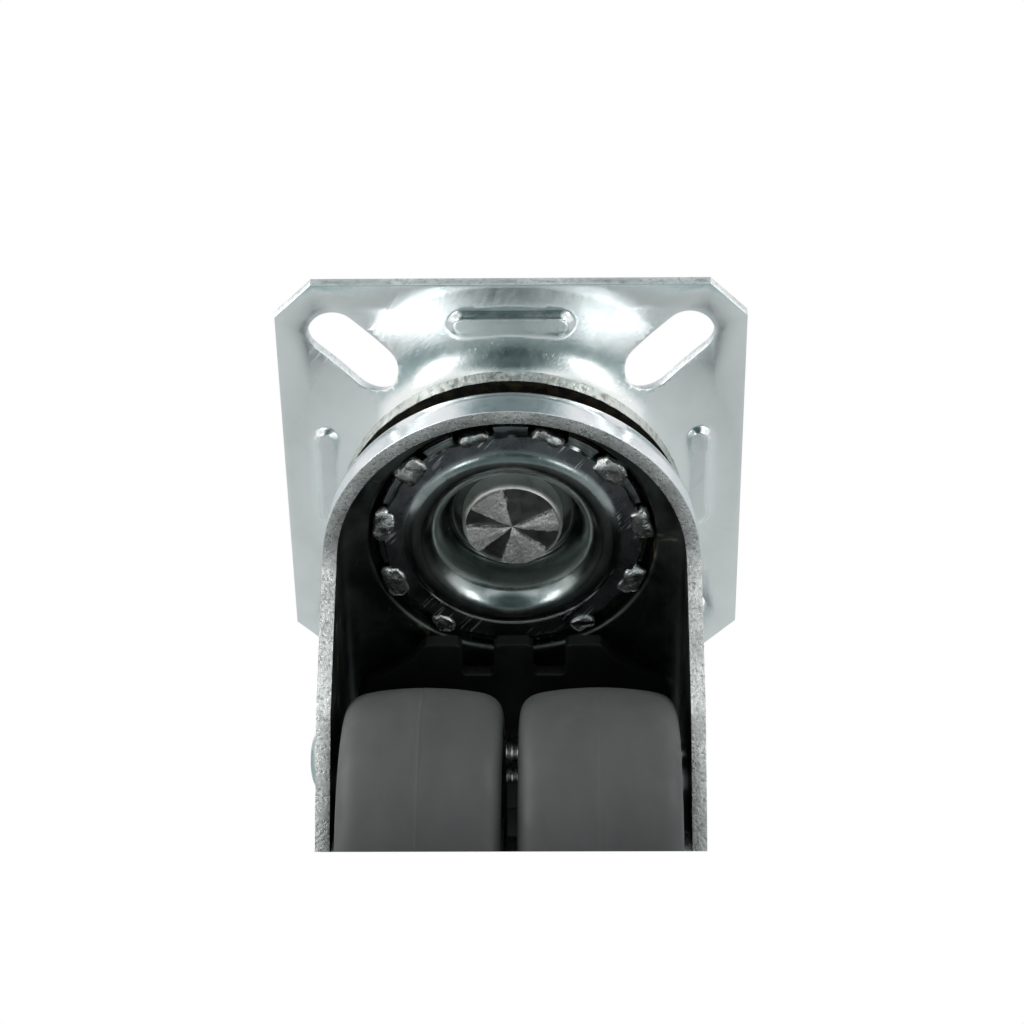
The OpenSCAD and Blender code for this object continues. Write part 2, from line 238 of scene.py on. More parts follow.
def grid_faces(rows, columns, close_rows, close_columns):
    """Quads between rows of points, each as long as columns."""
    faces = []
    for j in range(rows if close_rows else rows - 1):
        for i in range(columns if close_columns else columns - 1):
            a = j * columns + i
            b = j * columns + (i + 1) % columns
            c = ((j + 1) % rows) * columns + (i + 1) % columns
            d = ((j + 1) % rows) * columns + i
            faces.append((a, b, c, d))
    return faces


def lathe(name, profile, materials, steps=ROUND_STEPS, ring=True, pick=None, sharp=SHARP):
    """A turned solid. A ring's profile is a closed loop; otherwise both ends lie on the axis.
    pick gives a face's material from its centre."""
    rows = lathe_points(profile, steps)
    verts = [p for row in rows for p in row]
    faces = grid_faces(len(profile), steps, ring, True)
    obj = new_object(name, verts, faces, materials)
    if not ring:
        weld(obj, TIP_WELD)
    fix_normals(obj)
    if pick:
        for poly in obj.data.polygons:
            poly.material_index = pick(poly.center / MM)
    smooth(obj, sharp)
    return obj


def fix_normals(obj):
    bm = bmesh.new()
    bm.from_mesh(obj.data)
    bmesh.ops.recalc_face_normals(bm, faces=bm.faces)
    bm.to_mesh(obj.data)
    bm.free()


def face_towards(obj, test):
    """Turns the whole open surface over if test(centre, normal) adds up to a negative."""
    total = sum(test(p.center / MM, p.normal) * p.area for p in obj.data.polygons)
    if total < 0:
        obj.data.flip_normals()


def fill_plane(outer, holes=(), extra=()):
    """Triangulates a flat outline with holes. Points are 2-D; returns points and faces."""
    points, edges = [], []
    for loop in [outer, *holes]:
        first = len(points)
        points += [Vector(p) for p in loop]
        n = len(loop)
        edges += [(first + i, first + (i + 1) % n) for i in range(n)]
    points += [Vector(p) for p in extra]
    out = delaunay_2d_cdt(points, edges, [], 0, 1e-5)
    kept = []
    for face in out[2]:
        centre = sum((out[0][i] for i in face), Vector((0, 0))) / len(face)
        if inside(centre, outer) and not any(inside(centre, h) for h in holes):
            kept.append(tuple(face))
    return out[0], kept


def inside(p, loop):
    """Whether a 2-D point lies in a loop of points."""
    odd = False
    for (x0, y0), (x1, y1) in zip(loop, loop[1:] + loop[:1]):
        if (y0 > p[1]) != (y1 > p[1]) and p[0] < (x1 - x0) * (p[1] - y0) / (y1 - y0) + x0:
            odd = not odd
    return odd


def circle(centre, r, n):
    points = [polar(r, 2 * math.pi * i / n) for i in range(n)]
    return [(centre[0] + x, centre[1] + y) for x, y in points]


def lay_across(obj, centre, turn=1):
    """Swings a turned piece's axis from Z to X, or to -X with turn -1, and moves it to centre."""
    obj.data.transform(Matrix.Rotation(turn * math.pi / 2, 4, "Y"))
    obj.data.transform(Matrix.Translation(Vector(centre) * MM))


def join(parts, name):
    """Joins mesh objects into the first one."""
    bpy.ops.object.select_all(action="DESELECT")
    for p in parts:
        p.select_set(True)
    bpy.context.view_layer.objects.active = parts[0]
    bpy.ops.object.join()
    parts[0].name = name
    return parts[0]


def wobble(v, scale, seed=0.0):
    """Smooth noise from -1 to 1 at a point in millimetres."""
    return noise.noise(Vector(v) * scale + Vector((seed, seed * 1.7, -seed)))


# ---------------------------------------------------------------- materials
class Nodes:
    """Small helper for building a node material."""

    def __init__(self, name):
        self.mat = bpy.data.materials.new(name)
        self.mat.use_nodes = True
        self.tree = self.mat.node_tree
        self.bsdf = self.tree.nodes["Principled BSDF"]
        self.where = self.tree.nodes.new("ShaderNodeTexCoord").outputs["Object"]

    def link(self, a, b):
        self.tree.links.new(a, b)

    def mapped(self, scale, turn=(0, 0, 0)):
        """Object coordinates for a texture of the given size along its own, turned axes."""
        node = self.tree.nodes.new("ShaderNodeMapping")
        node.vector_type = "TEXTURE"
        node.inputs["Scale"].default_value = scale
        node.inputs["Rotation"].default_value = [math.radians(a) for a in turn]
        self.link(self.where, node.inputs["Vector"])
        return node.outputs[0]

    def noise(self, size, detail=3.0, rough=0.55, stretch=(1, 1, 1), turn=(0, 0, 0), warp=0.0):
        """Noise whose features are about size millimetres across."""
        node = self.tree.nodes.new("ShaderNodeTexNoise")
        self.link(self.mapped([size * MM * s for s in stretch], turn), node.inputs["Vector"])
        node.inputs["Scale"].default_value = 1.0
        node.inputs["Detail"].default_value = detail
        node.inputs["Roughness"].default_value = rough
        node.inputs["Distortion"].default_value = warp
        return node.outputs["Fac"]

    def ramp(self, source, stops):
        """Colours at positions from 0 to 1."""
        node = self.tree.nodes.new("ShaderNodeValToRGB")
        ramp = node.color_ramp
        for position, colour in stops:
            item = ramp.elements.new(position)
            item.color = (*colour, 1)
        ramp.elements.remove(ramp.elements[0])
        ramp.elements.remove(ramp.elements[-1])
        self.link(source, node.inputs[0])
        return node.outputs[0]

    def span(self, source, low, high, start=0.3, end=0.7):
        """Maps start to low and end to high."""
        node = self.tree.nodes.new("ShaderNodeMapRange")
        self.link(source, node.inputs["Value"])
        limits = {"From Min": start, "From Max": end, "To Min": low, "To Max": high}
        for key, value in limits.items():
            node.inputs[key].default_value = value
        return node.outputs[0]

    def math(self, op, a, b):
        """a is a socket, and b a socket or a number."""
        node = self.tree.nodes.new("ShaderNodeMath")
        node.operation = op
        self.link(a, node.inputs[0])
        if isinstance(b, (int, float)):
            node.inputs[1].default_value = b
        else:
            self.link(b, node.inputs[1])
        return node.outputs[0]

    def mix(self, factor, a, b):
        """Blends two colours, each a socket or a tuple."""
        node = self.tree.nodes.new("ShaderNodeMix")
        node.data_type = "RGBA"
        self.link(factor, node.inputs[0])
        for socket, value in ((node.inputs[6], a), (node.inputs[7], b)):
            if isinstance(value, tuple):
                socket.default_value = (*value, 1)
            else:
                self.link(value, socket)
        return node.outputs[2]

    def bump(self, height, strength, distance):
        """Chains a bump of at most distance millimetres onto the ones made before."""
        node = self.tree.nodes.new("ShaderNodeBump")
        node.inputs["Strength"].default_value = strength
        node.inputs["Distance"].default_value = distance * MM
        self.link(height, node.inputs["Height"])
        if self.bsdf.inputs["Normal"].links:
            self.link(self.bsdf.inputs["Normal"].links[0].from_socket, node.inputs["Normal"])
        self.link(node.outputs[0], self.bsdf.inputs["Normal"])

    def set(self, **values):
        """Sets the shader's sockets, named with underscores, to sockets, numbers or colours."""
        for key, value in values.items():
            socket = self.bsdf.inputs[key.replace("_", " ")]
            if isinstance(value, (int, float)):
                socket.default_value = value
            elif isinstance(value, tuple):
                socket.default_value = (*value, 1)
            else:
                self.link(value, socket)


def zinc(name, light, dark, rough_low, rough_high, cloud=7.0, grain=0.012, scratch=0.2):
    """Zinc-plated sheet: cloudy tint, blotchy gloss, fine rolled grain and a few long scratches."""
    n = Nodes(name)
    clouds = n.noise(cloud, 4, 0.6, warp=0.6)
    tint = n.ramp(clouds, [(0.30, dark), (0.55, light), (0.75, tuple(c * 0.96 for c in light))])
    specks = n.noise(0.35, 2, 0.7)
    tint = n.mix(n.span(specks, 0, 0.3, 0.66, 0.80), tint, tuple(c * 0.6 for c in dark))
    n.set(Base_Color=tint, Metallic=1.0)
    streak = n.noise(1.1, 3, 0.6, stretch=(1, 9, 1), turn=(0, 0, 18))
    rough = n.math("ADD", n.span(clouds, rough_low, rough_high), n.span(streak, -0.03, 0.04))
    n.set(Roughness=rough)
    n.bump(n.noise(0.5, 3, 0.6), 0.5, grain)
    n.bump(n.noise(9, 2, 0.5), 0.4, 0.05)
    scratches = n.noise(0.22, 1, 0.4, stretch=(1, 40, 1), turn=(0, 0, 33))
    n.bump(n.span(scratches, 0, 1, 0.66, 0.72), scratch, 0.02)
    return n.mat


def sheared(name, light, dark, size=0.6, depth=0.12, rough=0.42, stretch=(1, 1, 1)):
    """Torn metal of a cut edge: bright facets over a darker pitted ground."""
    n = Nodes(name)
    pits = n.noise(size, 5, 0.65, stretch=stretch, warp=0.4)
    broad = n.noise(size * 9, 3, 0.5)
    tint = n.ramp(pits, [(0.34, dark), (0.50, light), (0.7, light)])
    n.set(Base_Color=n.mix(n.span(broad, 0, 0.6), tint, dark), Metallic=1.0)
    n.set(Roughness=n.span(n.noise(size * 2.3, 3), rough - 0.14, rough + 0.14))
    n.bump(pits, 0.9, depth)
    n.bump(n.noise(size * 0.35, 3, 0.6), 0.7, depth * 0.4)
    return n.mat


def rubber(name, light, dark):
    """Matte grey elastomer with fine pores, faint smears and dust."""
    n = Nodes(name)
    smear = n.noise(6, 4, 0.6, stretch=(0.6, 1.8, 1.8))
    colour = n.ramp(smear, [(0.3, dark), (0.7, light)])
    dust = n.noise(0.28, 2, 0.8)
    colour = n.mix(n.span(dust, 0, 0.3, 0.70, 0.8), colour, tuple(c * 1.7 for c in light))
    n.set(Base_Color=colour, Roughness=n.span(n.noise(3, 3), 0.52, 0.68))
    n.set(Specular_IOR_Level=0.42)
    n.bump(n.noise(0.16, 3, 0.7), 0.35, 0.02)
    n.bump(n.noise(2.4, 3, 0.5), 0.25, 0.05)
    return n.mat


def scratched(name):
    """Dark plated rim with patches of parallel hatch scratches."""
    n = Nodes(name)
    clouds = n.noise(4, 4, 0.6, warp=0.5)
    tint = n.ramp(clouds, [(0.35, (0.26, 0.28, 0.30)), (0.65, (0.38, 0.41, 0.43))])
    hatch = n.noise(0.30, 1, 0.4, stretch=(1, 22, 1), turn=(0, 0, 38))
    where = n.span(n.noise(5.5, 2, 0.5), 0, 1, 0.50, 0.56)
    lines = n.math("MULTIPLY", n.span(hatch, 0, 1, 0.60, 0.66), where)
    n.set(Base_Color=n.mix(lines, tint, (0.80, 0.84, 0.86)), Metallic=1.0)
    n.set(Roughness=n.math("ADD", n.span(clouds, 0.24, 0.34), n.math("MULTIPLY", lines, 0.2)))
    n.bump(lines, 0.6, 0.03)
    n.bump(n.noise(0.5, 3, 0.6), 0.5, 0.012)
    return n.mat


def grease(name):
    """Old bearing grease: near black, wet, with brownish lumps."""
    n = Nodes(name)
    lumps = n.noise(1.4, 4, 0.6)
    n.set(Base_Color=n.ramp(lumps, [(0.45, (0.004, 0.004, 0.004)), (0.62, (0.022, 0.018, 0.008))]))
    n.set(Roughness=n.span(n.noise(0.8, 3), 0.25, 0.5), Specular_IOR_Level=0.25)
    n.bump(lumps, 0.8, 0.25)
    return n.mat


def shade_and_smears(name):
    """Inside of the fork: painted shade, the plating drawn near black, with a few yellow smears."""
    n = Nodes(name)
    clouds = n.noise(6, 4, 0.6, warp=0.6)
    tint = n.ramp(clouds, [(0.30, (0.060, 0.072, 0.066)), (0.65, (0.125, 0.145, 0.135))])
    smears = n.span(n.noise(5.5, 5, 0.6, stretch=(1, 1, 1.6), warp=0.8), 0, 0.7, 0.63, 0.70)
    n.set(Base_Color=n.mix(smears, tint, (0.22, 0.20, 0.06)))
    n.set(Metallic=n.span(smears, 1.0, 0.0, 0.0, 0.7), Roughness=n.span(clouds, 0.34, 0.52))
    n.bump(n.noise(0.5, 3, 0.6), 0.5, 0.012)
    n.bump(smears, 0.5, 0.12)
    return n.mat


def plastic(name, colour, rough=0.45, grain=0.15):
    n = Nodes(name)
    tint = n.ramp(n.noise(5, 3), [(0.3, tuple(c * 0.88 for c in colour)), (0.7, colour)])
    n.set(Base_Color=tint, Roughness=n.span(n.noise(2, 3), rough - 0.06, rough + 0.08))
    n.bump(n.noise(grain, 3, 0.6), 0.3, 0.015)
    return n.mat


def black_paint(name):
    """Black lacquer, matte in patches, with rubbed grey spots where the plating shows through."""
    n = Nodes(name)
    tint = n.ramp(n.noise(4, 4), [(0.3, (0.006, 0.006, 0.006)), (0.7, (0.011, 0.011, 0.0115))])
    rubbed = n.span(n.noise(0.9, 4, 0.75), 0, 0.35, 0.71, 0.80)
    n.set(Base_Color=n.mix(rubbed, tint, (0.06, 0.06, 0.062)))
    n.set(Roughness=n.span(n.noise(2.5, 3), 0.38, 0.55), Specular_IOR_Level=0.3)
    n.bump(n.noise(0.25, 3, 0.6), 0.35, 0.02)
    return n.mat


plate_zinc = zinc("plate_zinc", (0.86, 0.89, 0.885), (0.79, 0.83, 0.825), 0.14, 0.24,
                  grain=0.018)
fork_zinc = zinc("fork_zinc", (0.80, 0.82, 0.84), (0.70, 0.72, 0.74), 0.12, 0.24, cloud=5)
# painted shade: near-black plating for the inside of the fork, with yellow smears
fork_inside_shade = shade_and_smears("fork_inside_shade")
dark_grease = grease("dark_grease")
plate_edge = sheared("plate_edge", (0.80, 0.83, 0.83), (0.45, 0.48, 0.48), 0.5, 0.05)
fork_edge = sheared("fork_edge", (0.72, 0.73, 0.72), (0.30, 0.31, 0.30), 0.42, 0.22, 0.30,
                    (1, 0.8, 1.3))
race_zinc = zinc("race_zinc", (0.70, 0.73, 0.73), (0.48, 0.51, 0.51), 0.24, 0.38, cloud=4)
race_edge = sheared("race_edge", (0.74, 0.76, 0.73), (0.26, 0.27, 0.24), 0.8, 0.16, 0.36,
                    (1, 1, 1.8))
cup_zinc = zinc("cup_zinc", (0.38, 0.42, 0.41), (0.25, 0.29, 0.28), 0.14, 0.25, cloud=5)
ring_zinc = zinc("ring_zinc", (0.20, 0.22, 0.22), (0.12, 0.13, 0.13), 0.28, 0.42, cloud=3)
stake_metal = sheared("stake_metal", (0.88, 0.89, 0.87), (0.30, 0.31, 0.30), 1.3, 0.20, 0.24)
star_rough = sheared("star_rough", (0.95, 0.94, 0.93), (0.40, 0.39, 0.38), 0.22, 0.12, 0.56)
# painted shade: dark metal for the hollows between the torn rays of the kingpin's head
star_hollow_shade = zinc("star_hollow_shade", (0.26, 0.26, 0.26), (0.17, 0.17, 0.17), 0.34, 0.46, cloud=2)
# painted light: a lighter copy of the kingpin's metal, for its lower head's side
head_side_lit = zinc("head_side_lit", (0.93, 0.94, 0.90), (0.74, 0.76, 0.72), 0.50, 0.62, cloud=3)
cup_rim = scratched("cup_rim")
tyre_grey = rubber("tyre_grey", (0.066, 0.068, 0.067), (0.053, 0.055, 0.054))
brake_black = black_paint("brake_black")
core_grey = plastic("core_grey", (0.055, 0.056, 0.058))
bush_white = plastic("bush_white", (0.68, 0.66, 0.58))
bolt_zinc = zinc("bolt_zinc", (0.70, 0.72, 0.72), (0.48, 0.50, 0.50), 0.2, 0.34, cloud=2.5)
ball_steel = zinc("ball_steel", (0.62, 0.60, 0.55), (0.42, 0.38, 0.30), 0.12, 0.3, cloud=1.5)
spring_steel = zinc("spring_steel", (0.66, 0.66, 0.64), (0.4, 0.4, 0.39), 0.22, 0.34, cloud=1.2)


# ---------------------------------------------------------------- top plate
def bead_share(x, y):
    """1 on the flat of the pressed bars, one beside each side of the plate, 0 away from them."""
    share = 0.0
    for turn in range(4):
        a = turn * math.pi / 2
        u = x * math.cos(a) + y * math.sin(a)
        v = -x * math.sin(a) + y * math.cos(a)
        d = math.hypot(max(abs(u) - BEAD_HALF_RUN, 0.0), v + BEAD_Y)
        t = clamp((BEAD_EDGE - d) / BEAD_SLOPE)
        share = max(share, t * t * (3 - 2 * t))
    return share


def dish(r):
    """Depth of the drawn neck's wide elliptic flare at a radius."""
    t = clamp((DISH_R - r) / (DISH_R - NECK_R))
    return DISH_DEEP * (1 - math.sqrt(1 - t * t))


def slot_outline(turn):
    """Slot on the diagonal at turn degrees, with points along its straight sides."""
    a = math.radians(turn)
    centre = SLOT_AT * math.sqrt(2)
    side = [(centre + SLOT_HALF_RUN * (1 - i / 8), SLOT_R) for i in range(1, 16)]
    loop = arc((centre + SLOT_HALF_RUN, 0), SLOT_R, -90, 90, 14)
    loop += side + arc((centre - SLOT_HALF_RUN, 0), SLOT_R, 90, 270, 14)
    loop += [(x, -y) for x, y in reversed(side)]
    return [(x * math.cos(a) - y * math.sin(a), x * math.sin(a) + y * math.cos(a)) for x, y in loop]


def plate_points(turned_r):
    """Points inside the flat part's mesh: a fine grid on each pressed bar, rings on the flare."""
    grid_u, grid_v, first_v = 0.34, 0.3, 22.1
    near, far, half_run = 21.8, 26.6, 8.8
    rings, spokes = 18, 180
    found = []
    for i in range(-25, 26):
        for j in range(15):
            u, v = i * grid_u, first_v + j * grid_v
            found += [(u, v), (u, -v), (v, u), (-v, u)]
    for j in range(1, rings + 1):
        r = turned_r + (DISH_R - turned_r) * j / rings
        for i in range(spokes):
            x, y = polar(r, math.radians(i * 360 // spokes + j % 2))
            along, across = max(abs(x), abs(y)), min(abs(x), abs(y))
            if not (near < along < far and across < half_run):
                found.append((x, y))
    return [p for p in found if max(abs(p[0]), abs(p[1])) < PLATE_HALF - 0.2]


def make_plate():
    """Stamped sheet: a turned pan and neck, then a meshed flat with slots and pressed bars."""
    turned_r, flare_steps = 20.6, 18
    profile = [(KINGPIN_R, PAN_Z), (12, PAN_Z), (NECK_R - PAN_CORNER, PAN_Z)]
    profile += arc((NECK_R - PAN_CORNER, PAN_Z + PAN_CORNER), PAN_CORNER, -90, 0, 6)
    last = math.asin((DISH_R - turned_r) / (DISH_R - NECK_R))
    for i in range(1, flare_steps + 1):
        t = math.pi / 2 + (last - math.pi / 2) * i / flare_steps
        r = DISH_R - (DISH_R - NECK_R) * math.sin(t)
        profile.append((r, -PLATE_T - dish(r)))
    rows = lathe_points(profile, ROUND_STEPS)
    verts = [p for row in rows for p in row]
    faces = grid_faces(len(profile), ROUND_STEPS, False, True)

    h, c = PLATE_HALF, PLATE_CUT
    outer = [(-h + c, -h), (h - c, -h), (h, -h + c), (h, h - c),
             (h - c, h), (-h + c, h), (-h, h - c), (-h, -h + c)]
    holes = [[(p[0], p[1]) for p in rows[-1]]]
    holes += [slot_outline(turn) for turn in (45, 135, 225, 315)]
    points, flat = fill_plane(outer, holes, plate_points(turned_r))
    first = len(verts)
    verts += [(p[0], p[1], -PLATE_T - dish(math.hypot(p[0], p[1]))) for p in points]
    faces += [tuple(first + i for i in f) for f in flat]
    for i, (x, y, z) in enumerate(verts):
        share = bead_share(x, y)
        verts[i] = (x, y, z + share * min(-PLATE_T - BEAD_DEEP - z, 0))

    plate = new_object("plate_sheet", verts, faces, [plate_zinc, plate_edge])
    weld(plate)
    fix_normals(plate)
    face_towards(plate, lambda c, n: -n.z)
    add_sheet(plate, PLATE_T, 1)
    add_bevel(plate, 0.16, 2)
    bake(plate)
    return plate


# ---------------------------------------------------------------- upper race
def make_race():
    """Thick ring under the pan, with a ragged sheared rim and grease in its grooves."""
    row_r, row_z, ball_r = UPPER_ROW
    step = STEP_R + 0.4
    round_r, rim_top, rim_step = 0.9, PAN_Z - 0.95, 0.3
    dip = math.degrees(math.asin((RACE_IN_Z - row_z) / ball_r))
    profile = [(RACE_BORE, PAN_Z), (RACE_R - 1.7, PAN_Z)]
    profile += arc((RACE_R - 1.7, PAN_Z - round_r), round_r, 90, 45, 3)
    profile += [(RACE_R - 0.25, PAN_Z - 0.72), (RACE_R, rim_top)]
    profile += [(RACE_R, rim_top - rim_step * i) for i in range(1, 8)]
    profile += [(RACE_R - 0.15, RACE_RIM_Z), (step + 0.1, RACE_RIM_Z), (step, RACE_RIM_Z + 0.1)]
    profile += [(step, RACE_IN_Z)]
    profile += arc((row_r, row_z), ball_r, dip, 180 - dip, 12)
    profile += [(RACE_BORE, RACE_IN_Z)]

    def pick(c):
        plated, torn, greased = 0, 1, 2
        r = math.hypot(c.x, c.y)
        if r > RACE_R - 0.3:
            return torn
        return greased if c.z < RACE_IN_Z + 0.5 or r < RACE_BORE + 0.1 else plated

    race = lathe("race_body", profile, [race_zinc, race_edge, dark_grease], 420, pick=pick)
    for v in race.data.vertices:
        r = math.hypot(v.co.x, v.co.y) / MM
        if r > RACE_R - 0.4:
            p = v.co / MM
            push = 1 + (0.06 * wobble(p, 1.6) + 0.03 * wobble(p, 4.0, 3)) / r - 0.05 / r
            v.co.x *= push
            v.co.y *= push
            v.co.z += 0.05 * wobble(p, 0.9, 8) * MM
    return race


# ---------------------------------------------------------------- kingpin
# the peened head's torn rays, as first and last angle in degrees
TORN_RAYS = ((-26, 10), (42, 106), (135, 180), (206, 261))


def star_level(x, y):
    """Height of the peened head's face at a point, and how far the point is on a torn ray."""
    r = math.hypot(x, y)
    ragged = 3.0 * wobble((x, y, 0), 0.9) + 1.5 * wobble((x, y, 4), 2.5)
    a = math.degrees(math.atan2(y, x)) + ragged
    edge_width = 3.0
    t = 0.0
    ridge = 0.0
    for low, high in TORN_RAYS:
        middle, half = (low + high) / 2, (high - low) / 2
        off = abs((a - middle + 180) % 360 - 180)
        t = max(t, clamp((half - off) / edge_width))
        ridge = max(ridge, 1 - off / half)
    raised = t * (0.30 + 0.22 * ridge) * min(r / 1.2, 1.0)
    grain = 0.07 * t * (wobble((x, y, 1), 2.2) + wobble((x, y, 2), 5.0))
    hollow = -0.25 * (1 - t) * min(r / 4.5, 1.0)
    dome = -0.20 * (r / KINGPIN_HEAD_R) ** 2
    return raised + grain + hollow + dome, t


def make_kingpin():
    """Rivet through the bearing: a torn star on its lower head, a domed head in the pan."""
    rings, steps = 44, 300
    corner_r, face_depth = 0.9, 0.32
    head_top = PAN_Z - CUP_T
    pan_top = PAN_Z + PLATE_T
    angles = [2 * math.pi * i / steps for i in range(steps)]
    verts = []
    for j in range(rings + 1):
        r = (KINGPIN_HEAD_R - 0.55) * j / rings
        for a in angles:
            x, y = polar(r, a)
            level, _ = star_level(x, y)
            verts.append((x, y, KINGPIN_FACE_Z + face_depth - level))
    side = arc((KINGPIN_HEAD_R - corner_r, KINGPIN_FACE_Z + 1.2), corner_r, -60, 0, 6)
    side += [(KINGPIN_HEAD_R, head_top), (KINGPIN_R, head_top), (KINGPIN_R, pan_top)]
    side += [(KINGPIN_TOP_R, pan_top), (KINGPIN_TOP_R, pan_top + KINGPIN_TOP_EDGE)]
    side += [(KINGPIN_TOP_R * math.cos(math.radians(a)),
              pan_top + KINGPIN_TOP_EDGE + KINGPIN_TOP_DOME * math.sin(math.radians(a)))
             for a in range(15, 91, 15)]
    for r, z in side:
        for a in angles:
            x, y = polar(r, a)
            ragged = 1 + 0.012 * wobble((x, y, z), 0.8, 5) if r > KINGPIN_TOP_R else 1
            verts.append((x * min(ragged, 1), y * min(ragged, 1), z))
    faces = grid_faces(rings + 1 + len(side), steps, False, True)
    pin = new_object("kingpin_rivet", verts, faces, [star_rough, star_hollow_shade, head_side_lit, bolt_zinc])
    weld(pin, TIP_WELD)
    fix_normals(pin)
    shaded_hollow, lit_lower_side, upper_head = 1, 2, 3
    for poly in pin.data.polygons:
        c = poly.center / MM
        r = math.hypot(c.x, c.y)
        on_face = c.z < KINGPIN_FACE_Z + 0.9 and r < KINGPIN_HEAD_R - 0.5
        if c.z > PAN_Z:
            poly.material_index = upper_head
        # the lower head's side takes painted light, a lighter copy of the metal
        elif not on_face:
            poly.material_index = lit_lower_side
        # off the torn rays the face takes painted shade
        elif star_level(c.x, c.y)[1] < 0.45:
            poly.material_index = shaded_hollow
    smooth(pin, 60)
    return pin


# ---------------------------------------------------------------- lower cup and lock ring
def curve(points, steps=5):
    """Smooth line through points, by Catmull-Rom."""
    line = []
    for i in range(len(points) - 1):
        p0, p1 = Vector(points[max(i - 1, 0)]), Vector(points[i])
        p2, p3 = Vector(points[i + 1]), Vector(points[min(i + 2, len(points) - 1)])
        square = 2 * p0 - 5 * p1 + 4 * p2 - p3
        cube = 3 * p1 - p0 - 3 * p2 + p3
        for k in range(steps):
            t = k / steps
            line.append(tuple(0.5 * (2 * p1 + (p2 - p0) * t + square * t * t + cube * t ** 3)))
    return line + [tuple(points[-1])]


def make_cup():
    """Dished cup: flat rim, rounded ridge, bowl, and a small bead around the kingpin's pit."""
    row_r, row_z, in_r = LOWER_ROW
    wall = row_r - in_r - CUP_T
    floor = PAN_Z - CUP_T
    bead_r, bead_half = 7.95, 0.36
    profile = [(KINGPIN_R, PAN_Z), (KINGPIN_R, floor), (bead_r - 0.4, floor)]
    profile += arc((bead_r, floor - 0.02), bead_half, 180, 360, 8)
    profile += curve([(8.45, floor - 0.15), (8.75, floor - 0.9), (8.95, floor - 2.2), (9.2, -13.0),
                      (9.75, -14.2), (10.6, -15.1), (11.6, -15.68), (12.6, CUP_Z - 0.55),
                      (13.4, CUP_Z - 0.38), (14.0, CUP_Z - 0.08), (14.5, CUP_Z)])
    rim_round = 0.25
    profile += [(CUP_RIM_R - rim_round, CUP_Z), (CUP_RIM_R, CUP_Z + rim_round),
                (CUP_RIM_R, CUP_Z + CUP_T)]
    profile += [(row_r + in_r + 0.9, CUP_Z + CUP_T)]
    profile += arc((row_r, row_z), in_r, 335, 180, 24)
    profile += [(wall + CUP_T, PAN_Z)]

    def pick(c):
        plated, hatched = 0, 1
        on_rim = math.hypot(c.x, c.y) > 13.9 and c.z < CUP_Z + 0.1
        return hatched if on_rim else plated

    cup = lathe("cup_body", profile, [cup_zinc, cup_rim], pick=pick)
    for v in cup.data.vertices:
        if math.hypot(v.co.x, v.co.y) / MM > CUP_RIM_R - 0.4:
            ragged = 1 + 0.016 * wobble(v.co / MM, 0.5, 2) + 0.006 * wobble(v.co / MM, 1.8, 6)
            v.co.x *= ragged
            v.co.y *= ragged
    return cup


def notch_angle(i):
    """Angle of the lock ring's notch i; notch 0 faces the brake's comb."""
    return math.pi / 2 + i * 2 * math.pi / LOCK_N


def crushed_lump(centre, turn, size, seed):
    """A staked lump of metal: a rounded block dented by noise."""
    ball_r, roundness = 0.60, 0.68
    bm = bmesh.new()
    bmesh.ops.create_cube(bm, size=1.0)
    bmesh.ops.subdivide_edges(bm, edges=bm.edges, cuts=9, use_grid_fill=True)
    for v in bm.verts:
        p = v.co.copy()
        p = p.lerp(p.normalized() * ball_r, roundness)
        p = Vector((p.x * size[0], p.y * size[1], p.z * size[2]))
        dent = 0.55 * wobble(p, 0.6, seed) + 0.08 * wobble(p, 1.8, seed + 9)
        v.co = p + p.normalized() * dent
    mesh = bpy.data.meshes.new("lump")
    bm.to_mesh(mesh)
    bm.free()
    mesh.transform(Matrix.Rotation(turn, 4, "Z"))
    mesh.transform(Matrix.Translation(centre))
    mesh.transform(Matrix.Scale(MM, 4))
    mesh.materials.append(stake_metal)
    obj = bpy.data.objects.new("lump", mesh)
    bpy.context.scene.collection.objects.link(obj)
    smooth(obj, 60)
    return obj


def make_stakes():
    """Edge of the cup crushed into the lock ring's notches, all but the one behind."""
    random.seed(11)
    deep, wide, tall = 2.1, 3.4, 1.35
    lumps = []
    for i in range(1, LOCK_N):
        a = notch_angle(i)
        grown = 1.35 if i in (2, 3, 4, 7, 8, 9) else 1.0
        size = (deep * grown + random.uniform(-0.3, 0.3),
                wide * grown + random.uniform(-0.9, 0.5), tall)
        turn = a + random.uniform(-0.06, 0.06)
        centre = (*polar(CUP_RIM_R + 0.15, a), CUP_Z + 0.35)
        lumps.append(crushed_lump(centre, turn, size, i * 3.3))
    return join(lumps, "cup_stakes")


def make_lock_ring():
    """Flat ring with notches all round."""
    outline = []
    root_r = CUP_R - 0.2
    half_out = math.asin(NOTCH_HALF / LOCK_R)
    half_in = math.asin(NOTCH_HALF / root_r)
    tooth_steps = 8
    for i in range(LOCK_N):
        a = notch_angle(i)
        outline += [polar(root_r, b) for b in (a - half_in, a, a + half_in)]
        b0, b1 = a + half_out, a + 2 * math.pi / LOCK_N - half_out
        for k in range(tooth_steps + 1):
            b = b0 + (b1 - b0) * k / tooth_steps
            r = LOCK_R * (1 + 0.003 * wobble((math.cos(b) * 9, math.sin(b) * 9, 0), 1.2))
            outline.append(polar(min(r, LOCK_R), b))
    points, faces = fill_plane(outline, [circle((0, 0), LOWER_ROW[0] + 2.8, 120)])
    ring = new_object("lock_ring_body", [(p[0], p[1], ring_low.z) for p in points], faces,
                      [ring_zinc, stake_metal])
    fix_normals(ring)
    face_towards(ring, lambda c, n: -n.z)
    add_sheet(ring, ring_high.z - ring_low.z, 1)
    add_bevel(ring, 0.18, 3)
    bake(ring)
    return ring


